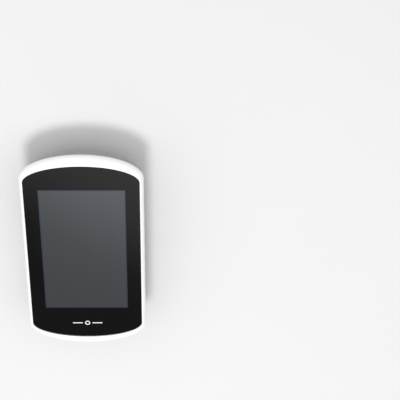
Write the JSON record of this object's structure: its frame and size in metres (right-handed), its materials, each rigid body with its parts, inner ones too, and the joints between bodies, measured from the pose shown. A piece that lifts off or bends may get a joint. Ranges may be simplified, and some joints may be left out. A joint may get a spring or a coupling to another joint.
{
  "type": "cycling computer",
  "caption": "Handlebar cycling computer with a tall touch screen, a crowned white rim, a quarter-turn lug on its back, a side key and a hinged weather cap.",
  "frame": {"origin": "middle of the bounding box's bottom face, on the flat face of the quarter-turn lug that the device rests on", "axes": "+Z out of the screen, +Y to the top end (the end away from the charging socket), +X to the right seen from the front"},
  "size_m": [0.0554, 0.1034, 0.022],
  "materials": {
    "white_case": "satin white moulded plastic",
    "grey_case": "fine-textured light grey moulded plastic",
    "cover_glass": "gloss, printed black border on the underside",
    "adhesive": "black adhesive film",
    "clear_film": "clear film",
    "display": "grey when unlit",
    "backlight": "white frame",
    "steel": "stamped sheet",
    "screw_steel": "dark plated",
    "circuit_board": "green solder mask",
    "black_plastic": "moulded black",
    "lug_plastic": "glass-filled black nylon",
    "flex_film": "amber polyimide film",
    "ceramic": "fired ceramic",
    "cell_wrap": "silver-grey laminate pouch",
    "foam": "closed-cell foam",
    "seal_rubber": "black silicone",
    "cap_rubber": "grey elastomer",
    "key_rubber": "dark grey elastomer"
  },
  "bodies": {
    "case": {"front_housing": "white_case", "rear_housing": "grey_case", "cover_glass": "cover_glass", "glass_adhesive": "adhesive", "touch_sensor": "clear_film", "optical_adhesive": "clear_film", "display_cell": "display", "backlight": "backlight", "display_bracket": "steel", "main_board": "circuit_board", "board_screws": "screw_steel", "display_flex": "flex_film", "touch_flex": "flex_film", "battery_flex": "flex_film", "display_connector": "black_plastic", "touch_connector": "black_plastic", "battery_connector": "black_plastic", "main_shield": "steel", "radio_shield": "steel", "processor_chip": "black_plastic", "memory_chip": "black_plastic", "receiver_chip": "black_plastic", "satellite_antenna": "ceramic", "radio_antenna": "ceramic", "buzzer": "black_plastic", "battery": "cell_wrap", "battery_pad": "foam", "housing_seal": "seal_rubber", "usb_shell": "steel", "usb_tongue": "black_plastic", "side_switch": "black_plastic", "key_seal": "seal_rubber", "cap_anchor": "cap_rubber", "mounting_lug": "lug_plastic", "lug_screws": "screw_steel", "housing_screws": "screw_steel"},
    "power_key": {"power_key": "key_rubber", "key_clip": "steel"},
    "switch_plunger": {"switch_plunger": "black_plastic"},
    "weather_cap": {"weather_cap": "cap_rubber"}
  },
  "joints": [
    {"name": "power_key_press", "type": "slide", "parent": "case", "child": "power_key", "axis": [1, 0, 0], "range_m": [0, 0.00035], "stiffness_N_per_m": 1500},
    {"name": "switch_plunger_press", "type": "slide", "parent": "case", "child": "switch_plunger", "axis": [1, 0, 0], "range_m": [0, 0.00035]},
    {"name": "weather_cap_hinge", "type": "hinge", "parent": "case", "child": "weather_cap", "pos_m": [0, -0.04689, 0.0094], "axis": [1, 0, 0], "range_deg": [0, 100], "stiffness_Nm_per_rad": 0.0005}
  ],
  "couplings": [
    {"joint": "switch_plunger_press", "follows": "power_key_press", "ratio": 1}
  ]
}
